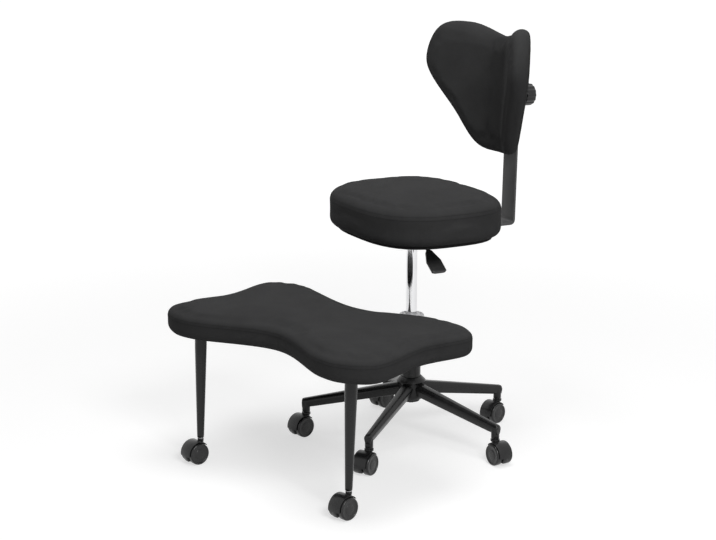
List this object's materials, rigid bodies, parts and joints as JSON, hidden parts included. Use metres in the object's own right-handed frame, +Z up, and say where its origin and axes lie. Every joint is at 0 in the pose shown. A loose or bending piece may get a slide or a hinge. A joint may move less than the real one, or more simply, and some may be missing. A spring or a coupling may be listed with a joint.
{
  "type": "office chair with swivelling footrest",
  "caption": "Armless office chair for sitting cross-legged, with a padded seat and heart-shaped back on a gas lift and a wide padded footrest that swings round the same column.",
  "frame": {"origin": "on the floor under the middle of the whole part's box; the lift column stands 110.5 mm towards +Y from it", "axes": "+Z up; -Y from the lift column towards the middle of the footrest; +X to the right of someone who sits facing the footrest's front edge seen from above with +Y ahead"},
  "size_m": [0.7296, 0.9154, 1.0758],
  "materials": {
    "upholstery": "matte",
    "board": "matte",
    "black_paint": "satin",
    "bar_paint": "satin",
    "black_plastic": "satin",
    "grey_collar": "satin",
    "chrome": "polished",
    "steel": "satin"
  },
  "bodies": {
    "base": {"star_base": "black_paint", "gas_tube": "black_paint", "guide_bush": "grey_collar", "thrust_bearing": "steel", "stem_1": "steel", "stem_2": "steel", "stem_3": "steel", "stem_4": "steel", "stem_5": "steel"},
    "piston": {"piston_rod": "chrome", "rod_clip": "steel"},
    "seat": {"gas_cylinder": "chrome", "seat_plate": "black_paint", "lever_pin": "steel", "seat_board": "board", "seat_cushion": "upholstery", "back_bar": "bar_paint", "bar_bolt_1": "steel", "bar_bolt_2": "steel", "seat_bolt_1": "steel", "seat_bolt_2": "steel", "seat_bolt_3": "steel", "seat_bolt_4": "steel"},
    "lever": {"lever_rod": "steel", "lever_paddle": "black_plastic"},
    "button": {"valve_button": "steel"},
    "back": {"back_bracket": "black_paint", "back_board": "board", "back_cushion": "upholstery"},
    "knob": {"back_knob": "black_plastic"},
    "footrest": {"footrest_sleeve": "grey_collar", "footrest_arm": "black_paint", "footrest_board": "board", "footrest_cushion": "upholstery", "leg_left": "black_paint", "leg_right": "black_paint", "stem_6": "steel", "stem_7": "steel"},
    "caster_1": {"hood_1": "black_plastic"},
    "roller_1a": {"wheel_1a": "black_plastic"},
    "roller_1b": {"wheel_1b": "black_plastic"},
    "caster_2": {"hood_2": "black_plastic"},
    "roller_2a": {"wheel_2a": "black_plastic"},
    "roller_2b": {"wheel_2b": "black_plastic"},
    "caster_3": {"hood_3": "black_plastic"},
    "roller_3a": {"wheel_3a": "black_plastic"},
    "roller_3b": {"wheel_3b": "black_plastic"},
    "caster_4": {"hood_4": "black_plastic"},
    "roller_4a": {"wheel_4a": "black_plastic"},
    "roller_4b": {"wheel_4b": "black_plastic"},
    "caster_5": {"hood_5": "black_plastic"},
    "roller_5a": {"wheel_5a": "black_plastic"},
    "roller_5b": {"wheel_5b": "black_plastic"},
    "caster_6": {"hood_6": "black_plastic"},
    "roller_6a": {"wheel_6a": "black_plastic"},
    "roller_6b": {"wheel_6b": "black_plastic"},
    "caster_7": {"hood_7": "black_plastic"},
    "roller_7a": {"wheel_7a": "black_plastic"},
    "roller_7b": {"wheel_7b": "black_plastic"}
  },
  "joints": [
    {"name": "seat_swivel", "type": "hinge", "parent": "base", "child": "piston", "pos_m": [0, 0.11048, 0.3], "axis": [0, 0, 1], "continuous": true},
    {"name": "seat_height", "type": "slide", "parent": "piston", "child": "seat", "axis": [0, 0, 1], "range_m": [-0.12, 0]},
    {"name": "release_lever", "type": "hinge", "parent": "seat", "child": "lever", "pos_m": [0.02853, 0.10121, 0.5494], "axis": [-0.309, -0.9511, 0], "range_deg": [0, 4.5], "stiffness_Nm_per_rad": 0.8},
    {"name": "valve_press", "type": "slide", "parent": "seat", "child": "button", "axis": [0, 0, 1], "range_m": [-0.0028, 0]},
    {"name": "back_height", "type": "slide", "parent": "seat", "child": "back", "axis": [0.0067, 0.0207, 0.9998], "range_m": [-0.06, 0.04]},
    {"name": "back_knob_turn", "type": "hinge", "parent": "back", "child": "knob", "pos_m": [0.09278, 0.39604, 0.89242], "axis": [0.3089, 0.9508, -0.0218], "range_deg": [0, 360]},
    {"name": "footrest_swing", "type": "hinge", "parent": "base", "child": "footrest", "pos_m": [0, 0.11048, 0.3], "axis": [0, 0, 1], "continuous": true},
    {"name": "caster_1_swivel", "type": "hinge", "parent": "base", "child": "caster_1", "pos_m": [-0.21841, -0.06263, 0.06], "axis": [0, 0, 1], "continuous": true},
    {"name": "wheel_1a_roll", "type": "hinge", "parent": "caster_1", "child": "roller_1a", "pos_m": [-0.21998, -0.08056, 0.0275], "axis": [0.9962, -0.0872, 0], "continuous": true},
    {"name": "wheel_1b_roll", "type": "hinge", "parent": "caster_1", "child": "roller_1b", "pos_m": [-0.21998, -0.08056, 0.0275], "axis": [0.9962, -0.0872, 0], "continuous": true},
    {"name": "caster_2_swivel", "type": "hinge", "parent": "base", "child": "caster_2", "pos_m": [0.09715, -0.15074, 0.06], "axis": [0, 0, 1], "continuous": true},
    {"name": "wheel_2a_roll", "type": "hinge", "parent": "caster_2", "child": "roller_2a", "pos_m": [0.10089, -0.16834, 0.0275], "axis": [0.9781, 0.2079, 0], "continuous": true},
    {"name": "wheel_2b_roll", "type": "hinge", "parent": "caster_2", "child": "roller_2b", "pos_m": [0.10089, -0.16834, 0.0275], "axis": [0.9781, 0.2079, 0], "continuous": true},
    {"name": "caster_3_swivel", "type": "hinge", "parent": "base", "child": "caster_3", "pos_m": [0.27846, 0.12216, 0.06], "axis": [0, 0, 1], "continuous": true},
    {"name": "wheel_3a_roll", "type": "hinge", "parent": "caster_3", "child": "roller_3a", "pos_m": [0.29584, 0.1175, 0.0275], "axis": [0.2588, 0.9659, 0], "continuous": true},
    {"name": "wheel_3b_roll", "type": "hinge", "parent": "caster_3", "child": "roller_3b", "pos_m": [0.29584, 0.1175, 0.0275], "axis": [0.2588, 0.9659, 0], "continuous": true},
    {"name": "caster_4_swivel", "type": "hinge", "parent": "base", "child": "caster_4", "pos_m": [0.07495, 0.37892, 0.06], "axis": [0, 0, 1], "continuous": true},
    {"name": "wheel_4a_roll", "type": "hinge", "parent": "caster_4", "child": "roller_4a", "pos_m": [0.07432, 0.36093, 0.0275], "axis": [0.9994, -0.0349, 0], "continuous": true},
    {"name": "wheel_4b_roll", "type": "hinge", "parent": "caster_4", "child": "roller_4b", "pos_m": [0.07432, 0.36093, 0.0275], "axis": [0.9994, -0.0349, 0], "continuous": true},
    {"name": "caster_5_swivel", "type": "hinge", "parent": "base", "child": "caster_5", "pos_m": [-0.23214, 0.26472, 0.06], "axis": [0, 0, 1], "continuous": true},
    {"name": "wheel_5a_roll", "type": "hinge", "parent": "caster_5", "child": "roller_5a", "pos_m": [-0.23339, 0.24676, 0.0275], "axis": [0.9976, -0.0698, 0], "continuous": true},
    {"name": "wheel_5b_roll", "type": "hinge", "parent": "caster_5", "child": "roller_5b", "pos_m": [-0.23339, 0.24676, 0.0275], "axis": [0.9976, -0.0698, 0], "continuous": true},
    {"name": "caster_6_swivel", "type": "hinge", "parent": "footrest", "child": "caster_6", "pos_m": [-0.263, -0.39252, 0.06], "axis": [0, 0, 1], "continuous": true},
    {"name": "wheel_6a_roll", "type": "hinge", "parent": "caster_6", "child": "roller_6a", "pos_m": [-0.26457, -0.41045, 0.0275], "axis": [0.9962, -0.0872, 0], "continuous": true},
    {"name": "wheel_6b_roll", "type": "hinge", "parent": "caster_6", "child": "roller_6b", "pos_m": [-0.26457, -0.41045, 0.0275], "axis": [0.9962, -0.0872, 0], "continuous": true},
    {"name": "caster_7_swivel", "type": "hinge", "parent": "footrest", "child": "caster_7", "pos_m": [0.263, -0.39252, 0.06], "axis": [0, 0, 1], "continuous": true},
    {"name": "wheel_7a_roll", "type": "hinge", "parent": "caster_7", "child": "roller_7a", "pos_m": [0.26269, -0.41051, 0.0275], "axis": [0.9998, -0.0175, 0], "continuous": true},
    {"name": "wheel_7b_roll", "type": "hinge", "parent": "caster_7", "child": "roller_7b", "pos_m": [0.26269, -0.41051, 0.0275], "axis": [0.9998, -0.0175, 0], "continuous": true}
  ],
  "couplings": [
    {"joint": "valve_press", "follows": "release_lever", "m_per_rad": -0.0345}
  ]
}
